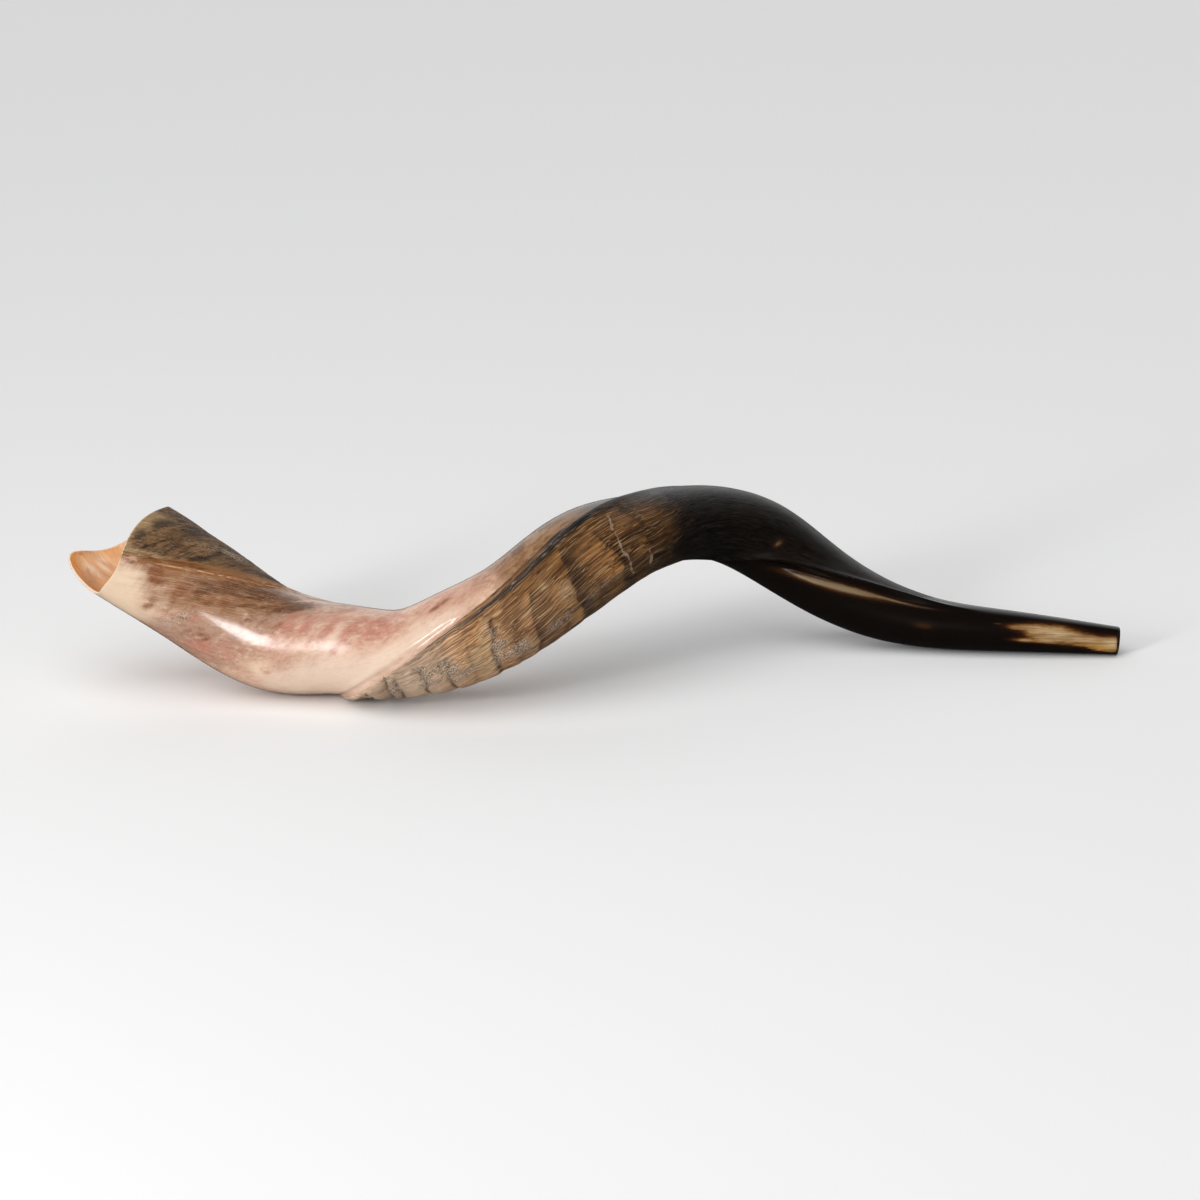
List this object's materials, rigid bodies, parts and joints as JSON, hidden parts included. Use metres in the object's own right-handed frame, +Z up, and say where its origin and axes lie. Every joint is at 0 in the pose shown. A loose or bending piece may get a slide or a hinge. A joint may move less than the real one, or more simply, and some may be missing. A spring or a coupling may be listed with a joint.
{
  "type": "kudu horn shofar",
  "caption": "Twisted kudu horn worked into a blowing horn, with a flared wavy bell, a ground and polished band winding down it beside the natural growth, and a small cupped mouthpiece.",
  "frame": {"origin": "middle of the horn's outline seen from above, on the surface it lies on", "axes": "+X runs from the bell to the mouthpiece, +Y to the side away from the picture's camera, +Z up"},
  "size_m": [0.8012, 0.1918, 0.1463],
  "materials": {
    "horn": "satin"
  },
  "bodies": {
    "root": {"horn": "horn"}
  },
  "joints": []
}
